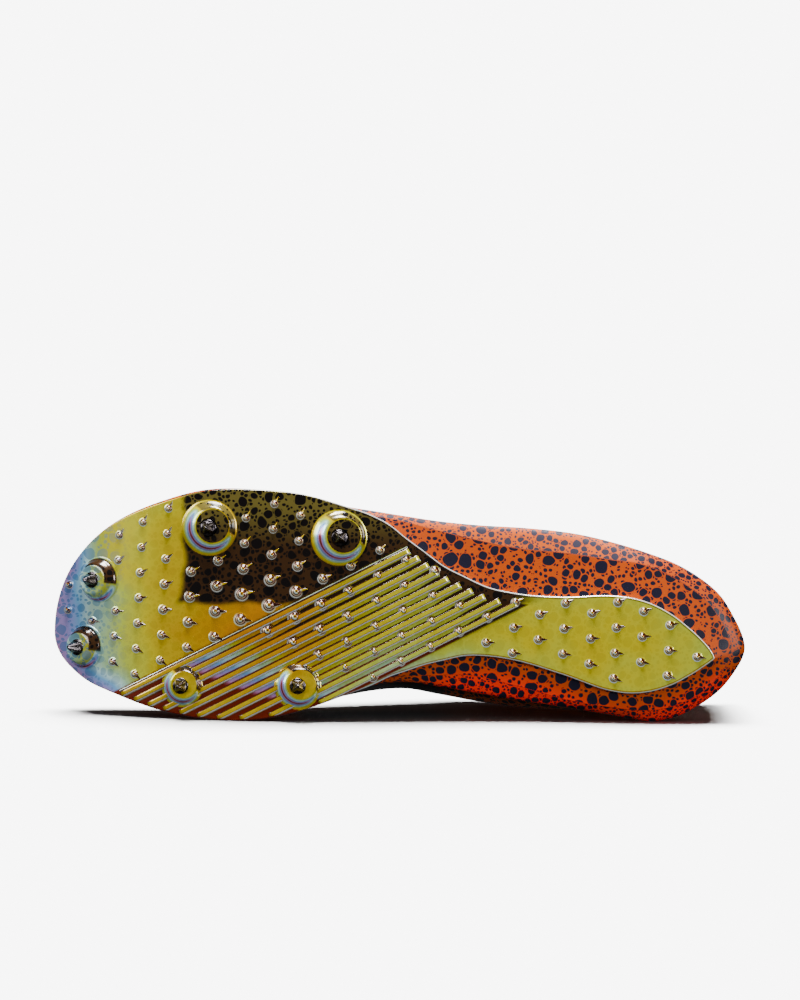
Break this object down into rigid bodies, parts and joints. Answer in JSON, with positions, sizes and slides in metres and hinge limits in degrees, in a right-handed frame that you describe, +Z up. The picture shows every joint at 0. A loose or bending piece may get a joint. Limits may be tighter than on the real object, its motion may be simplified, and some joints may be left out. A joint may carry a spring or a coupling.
{
  "type": "track spike shoe",
  "caption": "Left sprint spike shoe lying on its inner side: thin glossy studded plate with steel spikes, foam midsole and hollow thin upper with tongue and lace.",
  "frame": {"origin": "middle of the bounding box, on the floor that the shoe lies on", "axes": "+X from toe to heel, +Y from the sole towards the collar, +Z up, through the outer side of the shoe"},
  "size_m": [0.283, 0.106, 0.0942],
  "materials": {
    "plate_film": "glossy moulded plate with a thin colour-shifting film",
    "spike_steel": "dark polished steel",
    "foam_orange": "satin moulded foam, orange with irregular black dots",
    "upper_orange": "thin coated knit, orange with small black dots",
    "tongue_cloth": "matt charcoal cloth over thin foam",
    "insole_cloth": "matt black textile footbed",
    "lace_cord": "flat woven black lace"
  },
  "bodies": {
    "root": {"outsole_plate": "plate_film", "midsole": "foam_orange", "upper": "upper_orange", "tongue": "tongue_cloth", "insole": "insole_cloth", "lace": "lace_cord", "spike_toe_lateral": "spike_steel", "spike_toe_medial": "spike_steel", "spike_ball_lateral_front": "spike_steel", "spike_ball_lateral_rear": "spike_steel", "spike_ball_medial_front": "spike_steel", "spike_ball_medial_rear": "spike_steel"}
  },
  "joints": []
}
